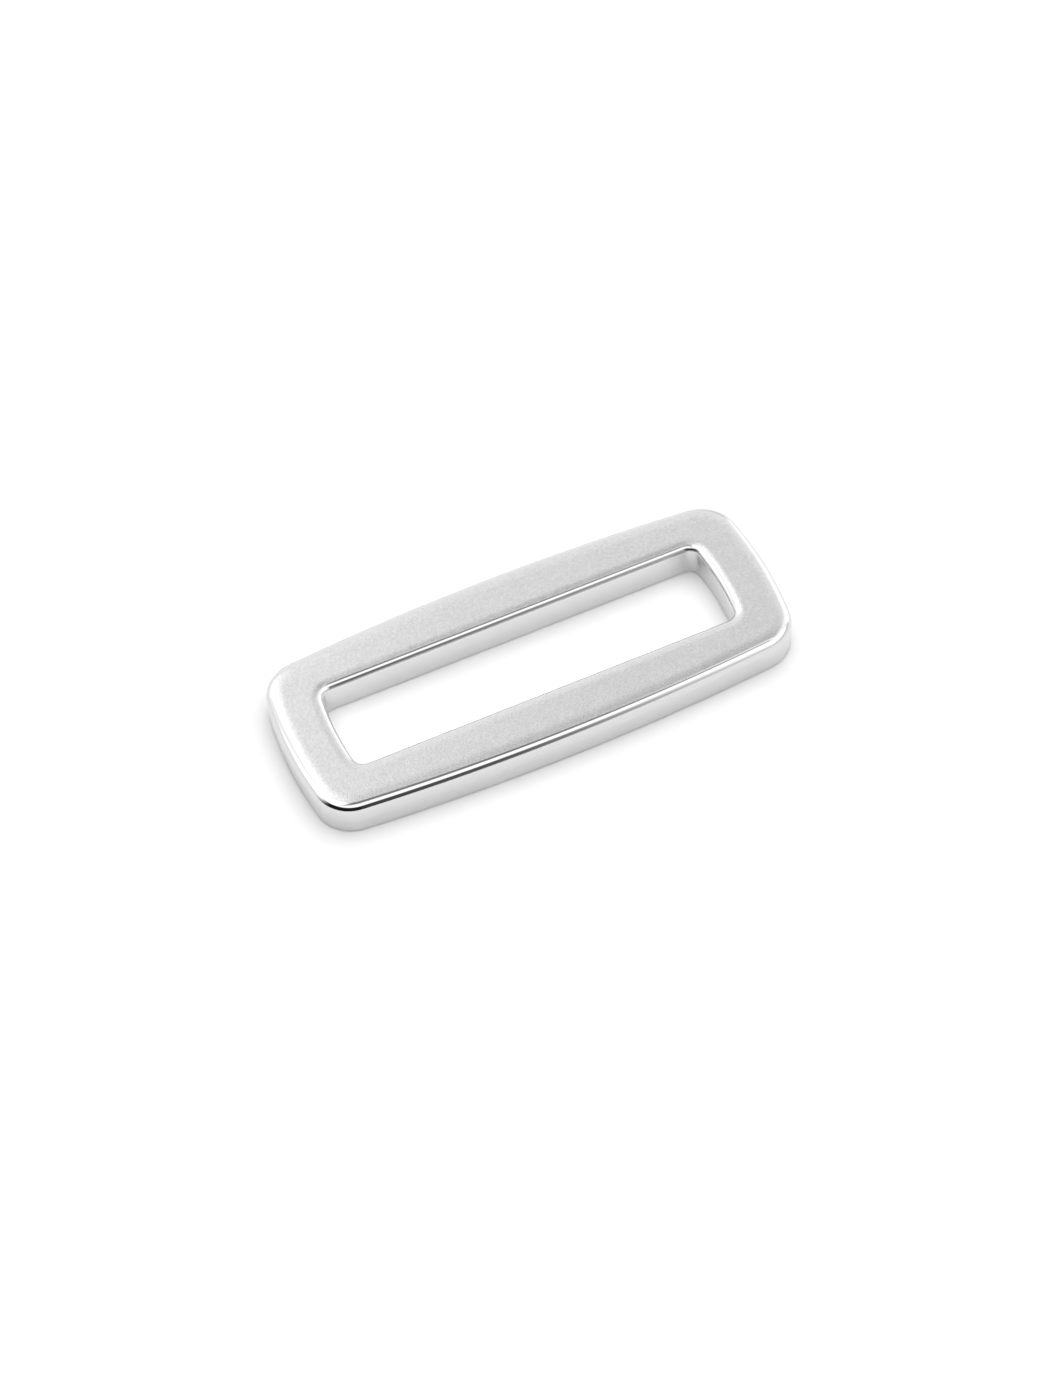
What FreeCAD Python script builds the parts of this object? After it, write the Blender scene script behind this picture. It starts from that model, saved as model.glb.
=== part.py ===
"""Buckle slider: a one-piece cast metal loop with one slot for a strap.

Millimetres. X runs along the slot, Y across the two long bars and +Z up through the
finished face. The origin is the middle of the flat back, which lies on Z = 0.
"""

import FreeCAD, Part
import os
from FreeCAD import BoundBox, Vector
from math import atan2, hypot, pi, tan

# The slot, measured along its centre lines.
SLOT_LENGTH = 40.0
SLOT_WIDTH = 9.35
SLOT_CORNER_RADIUS = 1.1

# The metal round the slot, measured along the same centre lines.
LONG_BAR_WIDTH = 5.65
END_BAR_WIDTH = 5.2
THICKNESS = 3.8
OUTER_CORNER_RADIUS = 3.95

# A bow is the rise of a side's middle over the straight line between its two corners,
# taken before the corners are rounded. A side with a bow of 0 is straight.
OUTER_SIDE_BOW = 1.22
OUTER_END_BOW = 1.05
SLOT_SIDE_BOW = 0.0
SLOT_END_BOW = 0.35

# The face bends over a wide blend into a slight slope towards the outline and towards the
# slot, then turns over a tighter edge into the wall. The back has plain rounded edges.
OUTER_SLOPE_WIDTH = 1.3
OUTER_SLOPE_DROP = 0.18
OUTER_EDGE_RADIUS = 0.95
SLOT_SLOPE_WIDTH = 0.9
SLOT_SLOPE_DROP = 0.18
SLOT_EDGE_RADIUS = 0.7
BACK_EDGE_RADIUS = 0.2

# The share of each slope, past its rounded edge, that the blend into the face takes up.
SLOPE_BLEND_SHARE = 0.9

# Places closer than this are the same place.
SAME_PLACE = 0.001


def side(start, middle, end, bow):
    """One side of an outline, from corner to corner."""
    if bow:
        return Part.Arc(start, middle, end).toShape()
    return Part.LineSegment(start, end).toShape()


def bowed_slab(reach, end_bow, side_bow, corner_radius):
    """A slab as thick as the loop, with four bowed sides and rounded corners.

    It reaches reach.x along X and reach.y along Y from its middle.
    """
    corner_x = reach.x - end_bow
    corner_y = reach.y - side_bow
    corners = [
        Vector(corner_x, corner_y),
        Vector(-corner_x, corner_y),
        Vector(-corner_x, -corner_y),
        Vector(corner_x, -corner_y),
    ]
    sides = [
        side(corners[0], Vector(0, reach.y), corners[1], side_bow),
        side(corners[1], Vector(-reach.x, 0), corners[2], end_bow),
        side(corners[2], Vector(0, -reach.y), corners[3], side_bow),
        side(corners[3], Vector(reach.x, 0), corners[0], end_bow),
    ]
    rounds = []
    for this, corner in enumerate(corners):
        rounding = Part.ChFi2d.FilletAPI(sides[this - 1], sides[this], Part.Plane())
        rounding.perform(corner_radius)
        arc, sides[this - 1], sides[this] = rounding.result(corner)
        rounds.append(arc)
    outline = Part.Wire(Part.__sortEdges__(sides + rounds))
    return Part.Face(outline).extrude(Vector(0, 0, THICKNESS))


def edges_at(body, height, reach):
    """The edges of a body that lie flat at one height and within a reach of (x, y)."""
    near = BoundBox(-reach.x, -reach.y, height, reach.x, reach.y, height)
    near.enlarge(SAME_PLACE)
    return [edge for edge in body.Edges if near.isInside(edge.BoundBox)]


def soften_rim(body, reach, slope_width, slope_drop, edge_radius):
    """Slope the face down to the rim within reach, and round every edge of that rim."""
    slope = atan2(slope_drop, slope_width)
    edge_run = edge_radius * tan((pi / 2 - slope) / 2)
    blend_run = SLOPE_BLEND_SHARE * (hypot(slope_width, slope_drop) - edge_run)
    blend_radius = blend_run / tan(slope / 2)
    # The first distance runs down the wall, the second along the face.
    body = body.makeChamfer(slope_drop, slope_width, edges_at(body, THICKNESS, reach))
    body = body.makeFillet(edge_radius, edges_at(body, THICKNESS - slope_drop, reach))
    top = edges_at(body, THICKNESS, reach + Vector(slope_width, slope_width))
    body = body.makeFillet(blend_radius, top)
    return body.makeFillet(BACK_EDGE_RADIUS, edges_at(body, 0, reach))


def slider_frame():
    """The whole casting: the outline with the slot through it, softened round both."""
    outer = Vector(SLOT_LENGTH / 2 + END_BAR_WIDTH, SLOT_WIDTH / 2 + LONG_BAR_WIDTH)
    inner = Vector(SLOT_LENGTH / 2, SLOT_WIDTH / 2)
    frame = bowed_slab(outer, OUTER_END_BOW, OUTER_SIDE_BOW, OUTER_CORNER_RADIUS)
    frame = soften_rim(frame, outer, OUTER_SLOPE_WIDTH, OUTER_SLOPE_DROP, OUTER_EDGE_RADIUS)
    frame = frame.cut(bowed_slab(inner, SLOT_END_BOW, SLOT_SIDE_BOW, SLOT_CORNER_RADIUS))
    frame = soften_rim(frame, inner, SLOT_SLOPE_WIDTH, SLOT_SLOPE_DROP, SLOT_EDGE_RADIUS)
    return frame.Solids[0]


os.makedirs("parts", exist_ok=True)
slider_frame().exportStep("parts/slider_frame.step")
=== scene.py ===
"""Buckle slider: the visual model of a one-piece cast, nickel-plated strap loop, with its stage.

The file is laid out as an add-on and run as a script. Lengths are in metres, in the frame of the
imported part: +X along the loop, +Z up through its thickness, origin in the middle of the flat back.
"""

from collections import namedtuple
from math import atan2, cos, hypot, pi, radians, sin, tan

import bpy
from mathutils import Matrix, Vector


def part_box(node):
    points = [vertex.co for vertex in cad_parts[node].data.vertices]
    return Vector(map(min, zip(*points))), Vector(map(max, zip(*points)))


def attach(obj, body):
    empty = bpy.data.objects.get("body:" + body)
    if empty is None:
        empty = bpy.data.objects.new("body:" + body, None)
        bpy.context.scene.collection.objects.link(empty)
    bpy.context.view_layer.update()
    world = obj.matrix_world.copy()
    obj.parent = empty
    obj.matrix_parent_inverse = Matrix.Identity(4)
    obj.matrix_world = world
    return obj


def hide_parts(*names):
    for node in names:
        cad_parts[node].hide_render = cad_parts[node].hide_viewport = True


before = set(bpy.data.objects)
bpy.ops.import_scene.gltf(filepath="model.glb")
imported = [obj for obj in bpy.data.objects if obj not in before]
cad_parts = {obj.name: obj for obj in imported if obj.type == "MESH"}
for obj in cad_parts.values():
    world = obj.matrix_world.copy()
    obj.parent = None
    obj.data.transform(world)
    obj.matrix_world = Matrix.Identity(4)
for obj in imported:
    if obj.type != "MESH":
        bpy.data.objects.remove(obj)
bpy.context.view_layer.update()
CASTING_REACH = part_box("slider_frame")[1]

bl_info = {
    "name": "Buckle slider",
    "version": (1, 0, 0),
    "blender": (4, 5, 0),
    "location": "View3D > Sidebar > Slider",
    "description": "Builds a cast buckle slider with a satin face and polished rims",
    "category": "Add Mesh",
}

MM = 0.001


# ---- sizes, finishes and stage that a user would change ----


def length(name, description, default):
    return bpy.props.FloatProperty(
        name=name, description=description, default=default, min=0.0, precision=5, unit="LENGTH"
    )


def amount(name, description, default):
    return bpy.props.FloatProperty(
        name=name, description=description, default=default, min=0.0, max=1.0, subtype="FACTOR"
    )


def colour(name, description, default):
    return bpy.props.FloatVectorProperty(
        name=name, description=description, default=default, size=3, min=0.0, max=1.0,
        subtype="COLOR",
    )


class SliderSizes(bpy.types.PropertyGroup):
    """Sizes of the cast loop."""

    long_bar: length("Long bar width", "Width of the front and rear bars at mid-length", 5.65 * MM)
    end_bar: length("End bar width", "Width of each end bar at mid-width", 5.2 * MM)
    corner: length("Corner radius", "Radius of the four outer corners", 3.95 * MM)
    slot_corner: length("Slot corner radius", "Radius of the four corners of the slot", 1.1 * MM)
    side_bow: length("Side bow", "How far the outer long sides bow outwards", 1.22 * MM)
    end_bow: length("End bow", "How far the outer ends bow outwards", 1.05 * MM)
    slot_end_bow: length("Slot end bow", "How far the ends of the slot bow outwards", 0.35 * MM)
    slope_width: length("Outer slope width", "Width of the slope inside the outer edge", 1.3 * MM)
    slope_drop: length("Slope drop", "How far each slope falls towards its edge", 0.18 * MM)
    edge_radius: length("Outer edge radius", "Radius of the outer top edge", 0.95 * MM)
    slot_slope_width: length("Slot slope width", "Width of the slope around the slot", 0.9 * MM)
    slot_edge_radius: length("Slot edge radius", "Radius of the top edge of the slot", 0.7 * MM)
    blend_share: amount("Slope blend share", "Share of a slope that blends into the face", 0.9)
    back_radius: length("Back edge radius", "Radius of the edges of the flat back", 0.2 * MM)


class SliderFinish(bpy.types.PropertyGroup):
    """Finish of the plated metal."""

    tone: colour("Nickel", "Colour of the plating", (0.72, 0.72, 0.72))
    polish: length("Polished rim", "Width of the polished band along the outer edge", 0.62 * MM)
    slot_polish: length("Polished slot rim", "Width of the polished band at the slot", 0.42 * MM)
    back_polish: length("Polished back edge", "Width of the polished band at the back", 0.16 * MM)
    satin_roughness: amount("Satin roughness", "Roughness of the blasted face", 0.23)
    polish_roughness: amount("Polish roughness", "Roughness of the polished rims", 0.07)
    wall_roughness: amount("Wall roughness", "Roughness of the upright walls", 0.26)
    slot_dullness: amount("Slot dullness", "How dull the slot's rim is, up to the walls", 0.25)
    corner_dullness: amount("Slot corner dullness", "How dull the slot's corners are", 0.9)
    grain: length("Grain size", "Size of the dimples that blasting leaves", 0.11 * MM)


class SliderStage(bpy.types.PropertyGroup):
    """Floor, light and camera."""

    floor: colour("Floor", "Colour of the floor", (0.86, 0.86, 0.86))
    floor_gain: bpy.props.FloatProperty(
        name="Floor gain", description="How much light from above falls on the floor",
        default=2.7, min=0.0,
    )
    distance: length("Camera distance", "Distance from the camera to where it looks", 335.8 * MM)


# ---- mesh tools ----


def deselect_all():
    if bpy.context.object and bpy.context.object.mode != "OBJECT":
        bpy.ops.object.mode_set(mode="OBJECT")
    bpy.ops.object.select_all(action="DESELECT")


def deselect_elements(mesh):
    for elements in (mesh.vertices, mesh.edges, mesh.polygons):
        elements.foreach_set("select", [False] * len(elements))


def edit(piece):
    bpy.context.view_layer.objects.active = piece
    bpy.ops.object.mode_set(mode="EDIT")


def one_point(name, place):
    """A new object that is one vertex, left selected in edit mode."""
    deselect_all()
    bpy.ops.mesh.primitive_plane_add(size=MM)
    piece = bpy.context.object
    piece.name = name
    piece.data.name = name
    edit(piece)
    bpy.ops.mesh.merge(type="CENTER")
    bpy.ops.transform.translate(value=place)
    return piece


def draw_to(step):
    """Draws on from what is selected by a step."""
    bpy.ops.mesh.extrude_region_move(TRANSFORM_OT_translate={"value": step})


def turn(angle, centre, axis, steps):
    """Draws on from what is selected round an arc, by the right-hand rule about the axis."""
    # The spin operator turns the other way for a positive angle.
    bpy.ops.mesh.spin(steps=steps, angle=-angle, center=centre, axis=axis)


def join_pieces(pieces, name):
    deselect_all()
    for piece in pieces:
        piece.select_set(True)
    joined = pieces[0]
    bpy.context.view_layer.objects.active = joined
    bpy.ops.object.join()
    joined.name = name
    joined.data.name = name
    return joined


# ---- the shape of the loop ----


END_STEPS = 10
CORNER_STEPS = 28
SIDE_STEPS = 28
BACK_STEPS = 4
EDGE_STEPS = 14
BLEND_STEPS = 5

# A narrow strip of flat metal that borders each rim, so that its shading stays flat beyond it.
BORDER = 0.12 * MM

# Places closer than this are on the same plane, and points closer than this are one point.
SAME_PLANE = 0.01 * MM
SAME_WALL = 0.001 * MM
SAME_POINT = 0.002 * MM
MIRROR_REACH = 0.005 * MM

DEPTH_ATTRIBUTE = "satin_depth"
DULL_ATTRIBUTE = "dullness"

# The share of a slot corner's radius over which its dullness fades out.
CORNER_FADE = 0.3


class Outline:
    """One quarter of a bowed outline with rounded corners, from the +X end round to the +Y side.

    It reaches reach_x and reach_y from the middle. Each side is an arc or, with no bow, straight,
    and the corner's arc touches both.
    """

    def __init__(self, reach_x, reach_y, end_bow, side_bow, corner):
        corner_x = reach_x - end_bow
        corner_y = reach_y - side_bow
        self.reach_x = reach_x
        self.corner = corner
        end_radius = (corner_y**2 + end_bow**2) / (2 * end_bow)
        self.end_centre = Vector((reach_x - end_radius, 0, 0))
        if side_bow:
            side_radius = (corner_x**2 + side_bow**2) / (2 * side_bow)
            self.side_centre = Vector((0, reach_y - side_radius, 0))
            self.corner_centre = self.centre_between(end_radius - corner, side_radius - corner)
            beyond = self.corner_centre - self.side_centre
            self.side_angle = atan2(beyond.x, beyond.y)
        else:
            self.side_centre = None
            centre_y = reach_y - corner
            along = ((end_radius - corner) ** 2 - centre_y**2) ** 0.5
            self.corner_centre = Vector((self.end_centre.x + along, centre_y, 0))
            self.side_angle = 0.0
        beyond = self.corner_centre - self.end_centre
        self.end_angle = atan2(beyond.y, beyond.x)
        self.corner_angle = pi / 2 - self.end_angle - self.side_angle

    def centre_between(self, from_end, from_side):
        """The point in the +X +Y quarter at given distances from the centres of both arcs."""
        apart = self.side_centre - self.end_centre
        line = apart.normalized()
        along = (from_end**2 - from_side**2 + apart.length_squared) / (2 * apart.length)
        off = (from_end**2 - along**2) ** 0.5
        across = Vector((-line.y, line.x, 0)) * off
        centre = self.end_centre + line * along + across
        if centre.x < 0 or centre.y < 0:
            centre -= 2 * across
        return centre


# One rim of the loop. Its inwards is -1 where the metal lies towards the middle of the loop, and
# 1 where it lies outside.
Rim = namedtuple("Rim", "name outline inwards slope_width edge_radius polish dullness")


def draw_section(rim, sizes, thickness):
    """The section of one rim, drawn from the back, up the wall and onto the face."""
    reach_x, inwards, edge_radius = rim.outline.reach_x, rim.inwards, rim.edge_radius
    back_radius = sizes.back_radius
    slope = atan2(sizes.slope_drop, rim.slope_width)
    edge_angle = pi / 2 - slope
    edge_run = edge_radius * tan(edge_angle / 2)
    past_edge = hypot(rim.slope_width, sizes.slope_drop) - edge_run
    blend_run = sizes.blend_share * past_edge
    blend_radius = blend_run / tan(slope / 2)
    wall_top = thickness - sizes.slope_drop - edge_run
    plain_slope = past_edge - blend_run
    axis = Vector((0, inwards, 0))

    piece = one_point(rim.name, (reach_x + inwards * (back_radius + BORDER), 0, 0))
    draw_to((-inwards * BORDER, 0, 0))
    turn(pi / 2, (reach_x + inwards * back_radius, 0, back_radius), axis, BACK_STEPS)
    draw_to((0, 0, wall_top - back_radius))
    turn(edge_angle, (reach_x + inwards * edge_radius, 0, wall_top), axis, EDGE_STEPS)
    draw_to((inwards * plain_slope * cos(slope), 0, plain_slope * sin(slope)))
    blend_start = rim.slope_width - blend_run * cos(slope)
    blend_centre_x = reach_x + inwards * (blend_start + blend_radius * sin(slope))
    turn(slope, (blend_centre_x, 0, thickness - blend_radius), axis, BLEND_STEPS)
    draw_to((inwards * BORDER, 0, 0))
    return piece


def mark_finish(piece, rim, finish, thickness):
    """Stores on each vertex how far it lies onto the satin, and how dull its polish is."""
    bpy.ops.object.mode_set(mode="OBJECT")
    for name in (DEPTH_ATTRIBUTE, DULL_ATTRIBUTE):
        piece.data.attributes.new(name, "FLOAT", "POINT")
    depth = piece.data.attributes[DEPTH_ATTRIBUTE].data
    dull = piece.data.attributes[DULL_ATTRIBUTE].data
    for vertex in piece.data.vertices:
        inset = (vertex.co.x - rim.outline.reach_x) * rim.inwards
        dull[vertex.index].value = 1.0 if inset < SAME_WALL else rim.dullness
        if vertex.co.z > thickness / 2:
            depth[vertex.index].value = inset - rim.polish - (thickness - vertex.co.z)
        else:
            depth[vertex.index].value = inset - finish.back_polish - vertex.co.z


def sweep_section(piece, outline):
    """Sweeps a section along one quarter of its outline, from mid-end round to mid-side."""
    edit(piece)
    bpy.ops.mesh.select_all(action="SELECT")
    up = (0, 0, 1)
    turn(outline.end_angle, outline.end_centre, up, END_STEPS)
    turn(outline.corner_angle, outline.corner_centre, up, CORNER_STEPS)
    if outline.side_centre:
        turn(outline.side_angle, outline.side_centre, up, SIDE_STEPS)
    else:
        for _ in range(SIDE_STEPS):
            draw_to((-outline.corner_centre.x / SIDE_STEPS, 0, 0))
    bpy.ops.object.mode_set(mode="OBJECT")


def dull_corners(piece, outline, dullness):
    """Dulls the rim in the corners of the slot, where a buffing wheel doesn't reach."""
    fade = CORNER_FADE * outline.corner
    dull = piece.data.attributes[DULL_ATTRIBUTE].data
    for vertex in piece.data.vertices:
        beyond = vertex.co - outline.corner_centre
        share = (min(beyond.x, beyond.y) + fade) / (2 * fade)
        share = min(max(share, 0.0), 1.0)
        dull[vertex.index].value += max(dullness - dull[vertex.index].value, 0.0) * share


def bridge_level(piece, height):
    """Closes the flat ring at one height between the outer rim and the slot rim."""
    mesh = piece.data
    uses = {}
    for polygon in mesh.polygons:
        for key in polygon.edge_keys:
            uses[key] = uses.get(key, 0) + 1
    deselect_elements(mesh)
    for edge in mesh.edges:
        ends = [mesh.vertices[index].co for index in edge.vertices]
        on_level = all(abs(end.z - height) < SAME_PLANE for end in ends)
        # The open ends of the quarter lie on the middle planes and stay open for the mirror.
        on_middle = any(all(abs(end[axis]) < SAME_PLANE for end in ends) for axis in (0, 1))
        edge.select = on_level and not on_middle and uses.get(edge.key, 0) == 1
    edit(piece)
    bpy.ops.mesh.select_mode(type="EDGE")
    bpy.ops.mesh.bridge_edge_loops()
    bpy.ops.mesh.select_mode(type="VERT")
    bpy.ops.object.mode_set(mode="OBJECT")


def mirror_quarters(piece):
    """Mirrors the quarter across both middle planes and closes it into one shell."""
    mirror = piece.modifiers.new("quarters", "MIRROR")
    mirror.use_axis = (True, True, False)
    mirror.merge_threshold = MIRROR_REACH
    bpy.ops.object.modifier_apply(modifier=mirror.name)
    edit(piece)
    bpy.ops.mesh.select_all(action="SELECT")
    bpy.ops.mesh.remove_doubles(threshold=SAME_POINT)
    bpy.ops.mesh.normals_make_consistent(inside=False)
    bpy.ops.object.mode_set(mode="OBJECT")


# ---- node tools ----


FLOAT = "NodeSocketFloat"
VECTOR = "NodeSocketVector"
RISING = (0.0, 1.0)
FALLING = (1.0, 0.0)

# The sockets of a Mix node: its factor, and the two numbers or the two colours that it mixes.
MIX_NUMBERS = (0, 2, 3)
MIX_COLOURS = (0, 6, 7)
MIXED_NUMBER = 0
MIXED_COLOUR = 2


class Nodes:
    """A short way to add and link the nodes of one tree."""

    def __init__(self, tree):
        self.tree = tree

    def add(self, kind, **values):
        node = self.tree.nodes.new(kind)
        for key, value in values.items():
            setattr(node, key, value)
        return node

    def link(self, source, target):
        self.tree.links.new(source, target)

    def put(self, value, socket):
        """Gives a socket a link where the value is an output, and otherwise a constant."""
        if isinstance(value, bpy.types.NodeSocket):
            self.link(value, socket)
        else:
            socket.default_value = value

    def math(self, operation, *values, clamp=False):
        node = self.add("ShaderNodeMath", operation=operation, use_clamp=clamp)
        for value, socket in zip(values, node.inputs):
            self.put(value, socket)
        return node.outputs[0]

    def product(self, first, *others):
        for other in others:
            first = self.math("MULTIPLY", first, other)
        return first

    def vector_math(self, operation, first, second):
        node = self.add("ShaderNodeVectorMath", operation=operation)
        self.put(first, node.inputs[0])
        self.put(second, node.inputs["Scale" if operation == "SCALE" else 1])
        return node.outputs["Value" if operation == "DOT_PRODUCT" else 0]

    def blend(self, share, first, second):
        node = self.add("ShaderNodeMix", data_type="FLOAT")
        for value, index in zip((share, first, second), MIX_NUMBERS):
            self.put(value, node.inputs[index])
        return node.outputs[MIXED_NUMBER]

    def blend_colours(self, share, first, second):
        node = self.add("ShaderNodeMix", data_type="RGBA")
        for value, index in zip((share, first, second), MIX_COLOURS):
            self.put(value, node.inputs[index])
        return node.outputs[MIXED_COLOUR]

    def smooth(self, value, span, levels=RISING):
        """A smooth step from the first level to the second as the value crosses a span."""
        node = self.add("ShaderNodeMapRange", interpolation_type="SMOOTHSTEP", clamp=True)
        self.put(value, node.inputs["Value"])
        for name, number in zip(("From Min", "From Max", "To Min", "To Max"), (*span, *levels)):
            self.put(number, node.inputs[name])
        return node.outputs[0]

    def noise(self, vector, scale, detail, rough):
        node = self.add("ShaderNodeTexNoise")
        self.put(vector, node.inputs["Vector"])
        self.put(scale, node.inputs["Scale"])
        node.inputs["Detail"].default_value = detail
        node.inputs["Roughness"].default_value = rough
        return node.outputs["Fac"]

    def attribute(self, name):
        return self.add("ShaderNodeAttribute", attribute_name=name).outputs["Fac"]

    def group(self, tree, **values):
        """Places a node group, and gives its outputs."""
        node = self.add("ShaderNodeGroup", node_tree=tree)
        for name, value in values.items():
            self.put(value, node.inputs[name.replace("_", " ")])
        return node.outputs


def new_group(name, inputs, outputs):
    """A shader node group with named sockets: its tree, node tools, inputs and outputs."""
    tree = bpy.data.node_groups.new(name, "ShaderNodeTree")
    for socket, kind in inputs:
        tree.interface.new_socket(name=socket, in_out="INPUT", socket_type=kind)
    for socket, kind in outputs:
        tree.interface.new_socket(name=socket, in_out="OUTPUT", socket_type=kind)
    nodes = Nodes(tree)
    source = nodes.add("NodeGroupInput")
    target = nodes.add("NodeGroupOutput")
    return tree, nodes, source.outputs, target.inputs


# ---- the finish ----


# Every noise has a detail and a roughness, and most are cut to a span between low and high.

# Blasting leaves fine dimples, some larger hollows among them, and slow patches. The scales of
# the last two are shares of the dimples per metre.
DIMPLE_NOISE = (2.0, 0.6)
DIMPLE_SPAN = (0.45, 0.85)
DIMPLE_DEPTH = 0.0095 * MM
HOLLOW_NOISE = (1.0, 0.5)
HOLLOW_SCALE = 0.31
HOLLOW_WEIGHT = 0.3
HOLLOW_TONE = 0.88
PATCH_NOISE = (2.0, 0.5)
PATCH_SCALE = 0.05
PATCH_SPAN = (0.3, 0.7)
PATCH_ROUGHNESS = 0.02

# Buffing leaves lines along the rim, which waver slowly.
LINE_NOISE = (3.0, 0.6)
LINES_PER_METRE = 9000.0
LINE_DRIFT = 60.0
LINE_DEPTH = 0.00006 * MM
WAVE_NOISE = (1.0, 0.4)
WAVES_PER_METRE = 220.0
WAVE_WEIGHT = 6.0
POLISH_VARIATION = 0.04
WALL_VARIATION = 0.08

# Handling has rubbed a broken band just inside the rims smoother.
WEAR_NOISE = (3.0, 0.6)
WEAR_SPOTS_PER_METRE = 900.0
WEAR_SPAN = (0.42, 0.66)
WEAR_REACH = 1.2 * MM
WEAR_POLISH = 0.05

# Where the polish turns to satin, and how far the dimples make that line ragged.
SATIN_EDGE = (-0.12 * MM, 0.06 * MM)
SATIN_RAGGED = 0.10 * MM


def blasted_grain_group():
    """Dimples left by blasting: their height, a tone that varies with them, and slow patches."""
    tree, nodes, given, made = new_group(
        "blasted_grain",
        (("Vector", VECTOR), ("Dimples per metre", FLOAT)),
        (("Height", FLOAT), ("Tone", FLOAT), ("Patches", FLOAT)),
    )
    place, scale = given["Vector"], given["Dimples per metre"]
    dimples = nodes.noise(place, scale, *DIMPLE_NOISE)
    hollows = nodes.noise(place, nodes.product(scale, HOLLOW_SCALE), *HOLLOW_NOISE)
    patches = nodes.noise(place, nodes.product(scale, PATCH_SCALE), *PATCH_NOISE)
    height = nodes.math("MULTIPLY_ADD", hollows, HOLLOW_WEIGHT, dimples)
    nodes.link(height, made["Height"])
    nodes.link(nodes.smooth(height, DIMPLE_SPAN), made["Tone"])
    nodes.link(nodes.smooth(patches, PATCH_SPAN), made["Patches"])
    return tree


def buffing_lines_group():
    """Fine lines that follow the rim, with a slow waviness, as buffing leaves them."""
    tree, nodes, given, made = new_group(
        "buffing_lines",
        (("Vector", VECTOR), ("Across", FLOAT), ("Lines per metre", FLOAT)),
        (("Height", FLOAT), ("Lines", FLOAT)),
    )
    across = nodes.add("ShaderNodeCombineXYZ")
    nodes.link(nodes.product(given["Across"], given["Lines per metre"]), across.inputs["X"])
    drift = nodes.vector_math("SCALE", given["Vector"], LINE_DRIFT)
    place = nodes.vector_math("ADD", across.outputs[0], drift)
    lines = nodes.noise(place, 1.0, *LINE_NOISE)
    waves = nodes.noise(given["Vector"], WAVES_PER_METRE, *WAVE_NOISE)
    nodes.link(nodes.math("MULTIPLY_ADD", waves, WAVE_WEIGHT, lines), made["Height"])
    nodes.link(lines, made["Lines"])
    return tree


def edge_wear_group():
    """Where handling has rubbed the blasted face near its rims: a broken band inside them."""
    tree, nodes, given, made = new_group(
        "edge_wear",
        (("Vector", VECTOR), ("Depth", FLOAT), ("Reach", FLOAT)),
        (("Mask", FLOAT),),
    )
    band = nodes.smooth(given["Depth"], (0.0, given["Reach"]), FALLING)
    spots = nodes.noise(given["Vector"], WEAR_SPOTS_PER_METRE, *WEAR_NOISE)
    nodes.link(nodes.product(band, nodes.smooth(spots, WEAR_SPAN)), made["Mask"])
    return tree


def satin_nickel(finish):
    """Plated nickel: a blasted satin face that turns to a buffed, polished rim."""
    material = bpy.data.materials.new("satin_nickel")
    material.use_nodes = True
    nodes = Nodes(material.node_tree)
    shader = material.node_tree.nodes["Principled BSDF"].inputs
    shader["Metallic"].default_value = 1.0
    place = nodes.add("ShaderNodeTexCoord").outputs["Object"]
    depth = nodes.attribute(DEPTH_ATTRIBUTE)
    dullness = nodes.attribute(DULL_ATTRIBUTE)

    grain = nodes.group(blasted_grain_group(), Vector=place, Dimples_per_metre=1 / finish.grain)
    buffing = nodes.group(
        buffing_lines_group(), Vector=place, Across=depth, Lines_per_metre=LINES_PER_METRE
    )
    wear = nodes.group(edge_wear_group(), Vector=place, Depth=depth, Reach=WEAR_REACH)

    ragged_depth = nodes.math("MULTIPLY_ADD", grain["Height"], -SATIN_RAGGED, depth)
    satin = nodes.smooth(ragged_depth, SATIN_EDGE)

    rough_satin = nodes.blend(
        grain["Patches"],
        finish.satin_roughness - PATCH_ROUGHNESS,
        finish.satin_roughness + PATCH_ROUGHNESS,
    )
    rough_satin = nodes.math("MULTIPLY_ADD", wear["Mask"], -WEAR_POLISH, rough_satin)
    rough_polish, rough_wall = (
        nodes.math("MULTIPLY_ADD", buffing["Lines"], variation, middle - variation / 2)
        for variation, middle in (
            (POLISH_VARIATION, finish.polish_roughness),
            (WALL_VARIATION, finish.wall_roughness),
        )
    )
    rough_rim = nodes.blend(dullness, rough_polish, rough_wall)
    nodes.link(nodes.blend(satin, rough_rim, rough_satin), shader["Roughness"])

    hollow = nodes.product(satin, nodes.math("SUBTRACT", 1.0, grain["Tone"]))
    plain_tone = (*finish.tone, 1.0)
    hollow_tone = (*(channel * HOLLOW_TONE for channel in finish.tone), 1.0)
    nodes.link(nodes.blend_colours(hollow, plain_tone, hollow_tone), shader["Base Color"])

    bump = nodes.add("ShaderNodeBump")
    bump.inputs["Strength"].default_value = 1.0
    bump.inputs["Distance"].default_value = 1.0
    line_height = nodes.product(buffing["Height"], LINE_DEPTH)
    dimple_height = nodes.product(grain["Height"], DIMPLE_DEPTH)
    nodes.link(nodes.blend(satin, line_height, dimple_height), bump.inputs["Height"])
    nodes.link(bump.outputs["Normal"], shader["Normal"])
    return material


# ---- the piece ----


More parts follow.
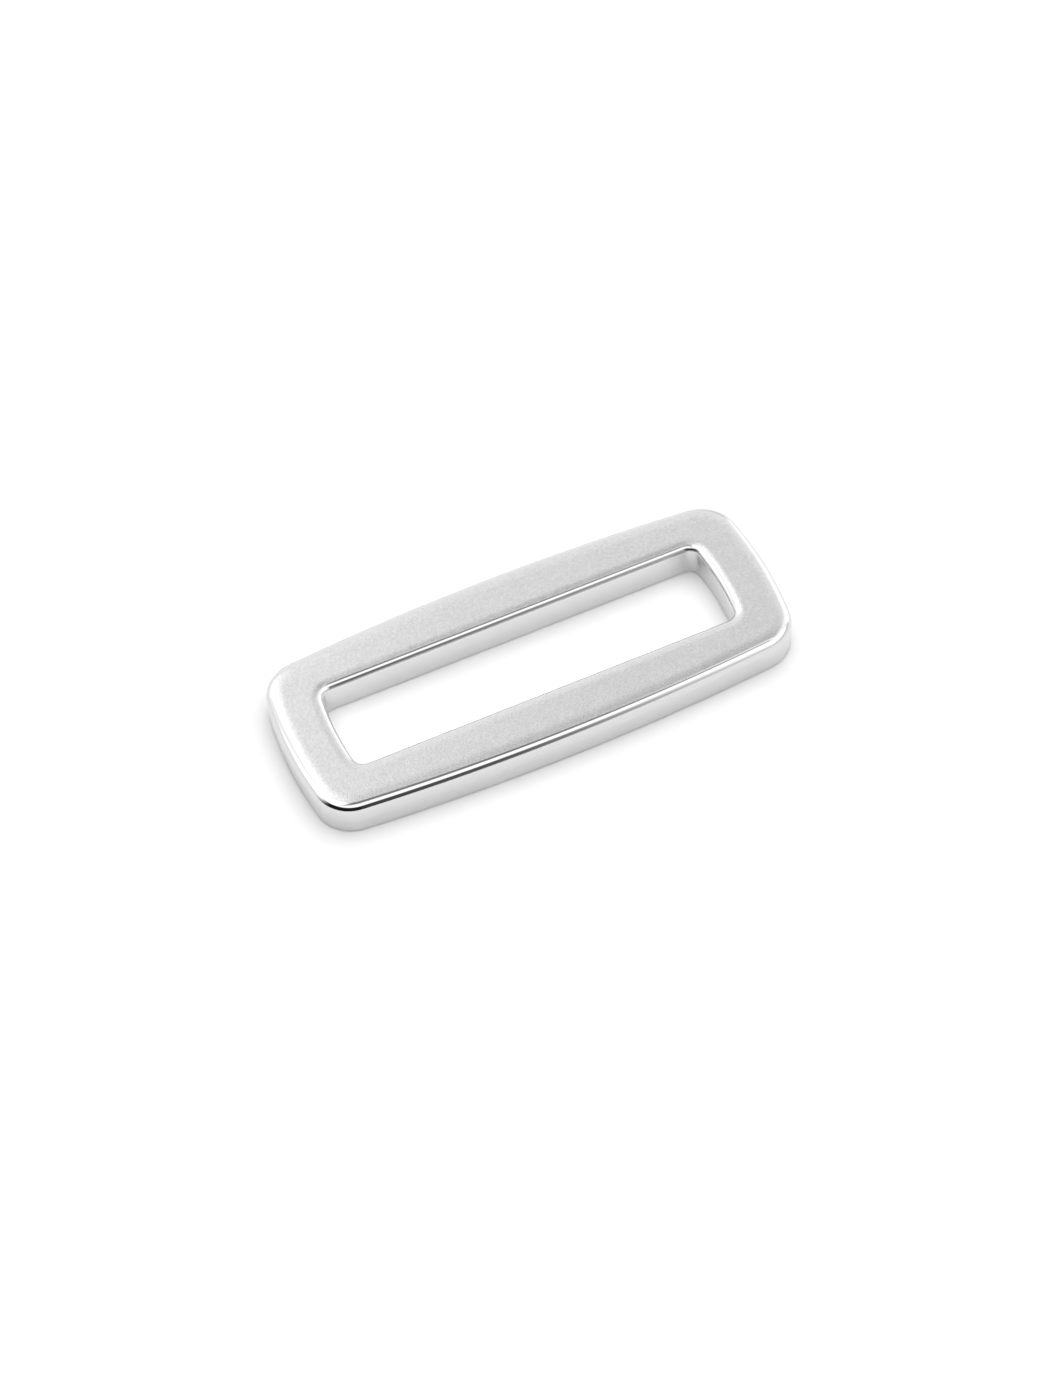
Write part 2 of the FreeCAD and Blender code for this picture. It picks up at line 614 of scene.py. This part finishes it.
class SLIDER_OT_casting(bpy.types.Operator):
    """Builds the cast loop with its sloped rims, rounded edges and strap slot"""

    bl_idname = "slider.casting"
    bl_label = "Cast loop"

    def execute(self, context):
        sizes = context.scene.slider_sizes
        finish = context.scene.slider_finish
        reach_x, reach_y, thickness = CASTING_REACH
        outer = Outline(reach_x, reach_y, sizes.end_bow, sizes.side_bow, sizes.corner)
        slot = Outline(
            reach_x - sizes.end_bar, reach_y - sizes.long_bar, sizes.slot_end_bow, 0.0,
            sizes.slot_corner,
        )
        quarters = []
        for rim in (
            Rim("outer_rim", outer, -1, sizes.slope_width, sizes.edge_radius, finish.polish, 0.0),
            Rim("slot_rim", slot, 1, sizes.slot_slope_width, sizes.slot_edge_radius,
                finish.slot_polish, finish.slot_dullness),
        ):
            quarter = draw_section(rim, sizes, thickness)
            mark_finish(quarter, rim, finish, thickness)
            sweep_section(quarter, rim.outline)
            quarters.append(quarter)
        dull_corners(quarters[1], slot, finish.corner_dullness)
        casting = join_pieces(quarters, "slider_casting")
        bridge_level(casting, 0.0)
        bridge_level(casting, thickness)
        mirror_quarters(casting)
        bpy.ops.object.shade_smooth()
        casting.data.materials.append(satin_nickel(finish))
        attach(casting, "root")
        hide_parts("slider_frame")
        return {"FINISHED"}


# ---- the light ----

# The soft light is a brightness for each direction (x, y, z) of length 1, with -Y to the front.
# A heading is an angle from the front towards +X. Spans say where a light or a shade fades.

# From the front horizon over the top to the back horizon: an angle in degrees and a brightness.
SKY = (
    (0, 0.95), (46, 1.5), (69, 1.5), (79, 0.26), (98, 0.26),
    (110, 0.56), (119, 0.70), (128, 1.02), (145, 1.12), (180, 1.10),
)

LEFT_GLOW = 1.0
LEFT_GLOW_X = (-0.85, -0.45)
LEFT_BOX = 1.9
LEFT_BOX_MIDDLE = Vector((-0.57, 0.42, 0.72))
LEFT_BOX_EDGE = (cos(radians(43)), cos(radians(34)))
LEFT_BOX_Z = (0.20, 0.52)
LEFT_GAP = 1.15
LEFT_GAP_ACROSS = Vector((-0.646, -0.731, 0.217))
LEFT_GAP_EDGE = (0.04, 0.11)
LEFT_GAP_Z = (0.2, 0.4)

RIGHT_SIDE = (0.8, 1.25)
RIGHT_SIDE_X = (0.30, 0.60)
RIGHT_SIDE_Z = (0.28, 0.50)
FRONT_RIGHT_BOX = 1.9
FRONT_RIGHT_BOX_Y = (-0.35, 0.05)
FRONT_RIGHT_BOX_Z = (0.28, 0.45)
RIGHT_BOX = 1.75
RIGHT_BOX_X = (0.62, 0.82)
RIGHT_BOX_Y = (0.0, 0.15)
RIGHT_BOX_Z = (0.45, 0.65)

# The dark room in front, deepest to the left, and lighter near the floor to the right.
DARK = (0.015, 0.10)
DARK_HEADING = (radians(-6), radians(8))
DARK_Z = (sin(radians(38)), sin(radians(47)))
DARK_LEFT_HEADING = (radians(-122), radians(-76))
DARK_RIGHT_HEADING = (radians(8), radians(30))
DARK_FOOT = (1.0, 0.5)
DARK_FOOT_HEADING = (0.0, radians(18))
DARK_FOOT_Z = (sin(radians(2)), sin(radians(18)))

FLOOR_LIGHT_MIDDLE = Vector((0.12, 0.07, 1.0))
FLOOR_LIGHT_EDGE = (cos(radians(57)), cos(radians(10)))
FLOOR_LIGHT_REST = 0.14
BACKDROP = 1.0


def sky_light(nodes, y, z):
    """The brightness along the sky's arc from front to back."""
    arc = nodes.math("ARCTAN2", z, nodes.product(y, -1.0))
    ramp = nodes.add("ShaderNodeValToRGB")
    ramp.color_ramp.interpolation = "EASE"
    elements = ramp.color_ramp.elements
    while len(elements) < len(SKY):
        elements.new(0.5)
    for element, (angle, level) in zip(elements, SKY):
        element.position = angle / 180
        element.color = (level, level, level, 1)
    nodes.link(nodes.math("DIVIDE", arc, pi, clamp=True), ramp.inputs[0])
    return ramp.outputs["Color"]


def toward(nodes, direction, target):
    """How closely a direction points at a target: the cosine of the angle between them."""
    return nodes.vector_math("DOT_PRODUCT", direction, target.normalized())


def left_lights(nodes, direction, x, z, level):
    """The glow low on the left, and the large box above it with a narrow gap."""
    level = nodes.blend(nodes.smooth(x, LEFT_GLOW_X, FALLING), level, LEFT_GLOW)
    box = nodes.smooth(toward(nodes, direction, LEFT_BOX_MIDDLE), LEFT_BOX_EDGE)
    level = nodes.blend(nodes.product(box, nodes.smooth(z, LEFT_BOX_Z)), level, LEFT_BOX)
    off_gap = nodes.math("ABSOLUTE", toward(nodes, direction, LEFT_GAP_ACROSS))
    gap = nodes.smooth(off_gap, LEFT_GAP_EDGE, FALLING)
    return nodes.blend(nodes.product(gap, nodes.smooth(z, LEFT_GAP_Z)), level, LEFT_GAP)


def right_lights(nodes, x, y, z, level):
    """The even light on the right, with a high box in front and a low box at the side."""
    side = nodes.smooth(z, RIGHT_SIDE_Z, RIGHT_SIDE)
    front_box = nodes.product(
        nodes.smooth(y, FRONT_RIGHT_BOX_Y, FALLING), nodes.smooth(z, FRONT_RIGHT_BOX_Z)
    )
    side = nodes.blend(front_box, side, FRONT_RIGHT_BOX)
    level = nodes.blend(nodes.smooth(x, RIGHT_SIDE_X), level, side)
    box = nodes.product(
        nodes.smooth(x, RIGHT_BOX_X),
        nodes.smooth(y, RIGHT_BOX_Y),
        nodes.smooth(z, RIGHT_BOX_Z, FALLING),
    )
    return nodes.blend(box, level, RIGHT_BOX)


def dark_room(nodes, x, y, z, level):
    """The unlit room low in front."""
    heading = nodes.math("ARCTAN2", x, nodes.product(y, -1.0))
    foot = nodes.smooth(heading, DARK_FOOT_HEADING, DARK_FOOT)
    dark = nodes.product(
        nodes.smooth(z, DARK_Z, FALLING),
        nodes.smooth(heading, DARK_LEFT_HEADING),
        nodes.smooth(heading, DARK_RIGHT_HEADING, FALLING),
        nodes.smooth(z, DARK_FOOT_Z, (foot, 1.0)),
    )
    return nodes.blend(dark, level, nodes.smooth(heading, DARK_HEADING, DARK))


def soft_world(world, floor_gain):
    """Soft studio light by direction, with a light from above for the floor."""
    world.use_nodes = True
    world.node_tree.nodes.clear()
    nodes = Nodes(world.node_tree)
    direction = nodes.add("ShaderNodeTexCoord").outputs["Generated"]
    parts = nodes.add("ShaderNodeSeparateXYZ")
    nodes.link(direction, parts.inputs[0])
    x, y, z = parts.outputs
    level = sky_light(nodes, y, z)
    level = left_lights(nodes, direction, x, z, level)
    level = right_lights(nodes, x, y, z, level)
    level = dark_room(nodes, x, y, z, level)

    light_path = nodes.add("ShaderNodeLightPath").outputs
    floor_light = nodes.smooth(toward(nodes, direction, FLOOR_LIGHT_MIDDLE), FLOOR_LIGHT_EDGE)
    floor_light = nodes.math("MULTIPLY_ADD", floor_light, floor_gain, FLOOR_LIGHT_REST)
    level = nodes.blend(light_path["Is Diffuse Ray"], level, floor_light)
    level = nodes.blend(light_path["Is Camera Ray"], level, BACKDROP)
    background = nodes.add("ShaderNodeBackground")
    nodes.link(level, background.inputs["Color"])
    output = nodes.add("ShaderNodeOutputWorld")
    nodes.link(background.outputs[0], output.inputs[0])


# ---- the stage ----


FLOOR_RADIUS = 3.0
FLOOR_SIDES = 64

# The point the camera looks at, and the direction from there to the camera.
AIM = Vector((-1.75, -2.01, 0)) * MM
AZIMUTH = radians(-20.30)
ELEVATION = radians(54.29)
ROLL = radians(-4.76)
LENS = 90.3
SENSOR = 36.0
CLIP_START = 10 * MM


def pale_floor(tone):
    bpy.ops.mesh.primitive_circle_add(vertices=FLOOR_SIDES, radius=FLOOR_RADIUS, fill_type="NGON")
    floor = bpy.context.object
    floor.name = "floor"
    material = bpy.data.materials.new("pale_floor")
    material.use_nodes = True
    shader = material.node_tree.nodes["Principled BSDF"].inputs
    shader["Base Color"].default_value = (*tone, 1)
    shader["Roughness"].default_value = 1.0
    shader["Specular IOR Level"].default_value = 0.0
    floor.data.materials.append(material)
    return floor


def close_up_camera(distance):
    back = Vector(
        (sin(AZIMUTH) * cos(ELEVATION), -cos(AZIMUTH) * cos(ELEVATION), sin(ELEVATION))
    )
    right = Vector((cos(AZIMUTH), sin(AZIMUTH), 0))
    up = back.cross(right)
    axis_x = cos(ROLL) * right + sin(ROLL) * up
    axis_y = -sin(ROLL) * right + cos(ROLL) * up
    bpy.ops.object.camera_add()
    camera = bpy.context.object
    camera.data.lens = LENS
    camera.data.sensor_width = SENSOR
    camera.data.sensor_fit = "AUTO"
    camera.data.clip_start = CLIP_START
    turned = Matrix((axis_x, axis_y, back)).transposed().to_4x4()
    camera.matrix_world = Matrix.Translation(AIM + back * distance) @ turned
    return camera


class SLIDER_OT_stage(bpy.types.Operator):
    """Sets the plain floor, the soft light and the camera"""

    bl_idname = "slider.stage"
    bl_label = "Stage"

    def execute(self, context):
        scene = context.scene
        stage = scene.slider_stage
        deselect_all()
        pale_floor(stage.floor)
        world = bpy.data.worlds.new("soft_studio")
        scene.world = world
        soft_world(world, stage.floor_gain)
        world.cycles.sampling_method = "NONE"
        scene.camera = close_up_camera(stage.distance)
        scene.view_settings.view_transform = "Standard"
        return {"FINISHED"}


# ---- panel and registration ----


class SLIDER_PT_panel(bpy.types.Panel):
    """Lists the sizes, the finish, the stage and the operators"""

    bl_idname = "SLIDER_PT_panel"
    bl_label = "Buckle slider"
    bl_space_type = "VIEW_3D"
    bl_region_type = "UI"
    bl_category = "Slider"

    def draw(self, context):
        scene = context.scene
        for group in (scene.slider_sizes, scene.slider_finish, scene.slider_stage):
            box = self.layout.box()
            for name in group.__annotations__:
                box.prop(group, name)
        self.layout.operator(SLIDER_OT_casting.bl_idname)
        self.layout.operator(SLIDER_OT_stage.bl_idname)


CLASSES = (
    SliderSizes, SliderFinish, SliderStage, SLIDER_OT_casting, SLIDER_OT_stage, SLIDER_PT_panel,
)


def register():
    for cls in CLASSES:
        bpy.utils.register_class(cls)
    bpy.types.Scene.slider_sizes = bpy.props.PointerProperty(type=SliderSizes)
    bpy.types.Scene.slider_finish = bpy.props.PointerProperty(type=SliderFinish)
    bpy.types.Scene.slider_stage = bpy.props.PointerProperty(type=SliderStage)


def unregister():
    del bpy.types.Scene.slider_stage
    del bpy.types.Scene.slider_finish
    del bpy.types.Scene.slider_sizes
    for cls in reversed(CLASSES):
        bpy.utils.unregister_class(cls)


def main():
    register()
    bpy.ops.slider.casting()
    bpy.ops.slider.stage()


if __name__ == "__main__":
    main()
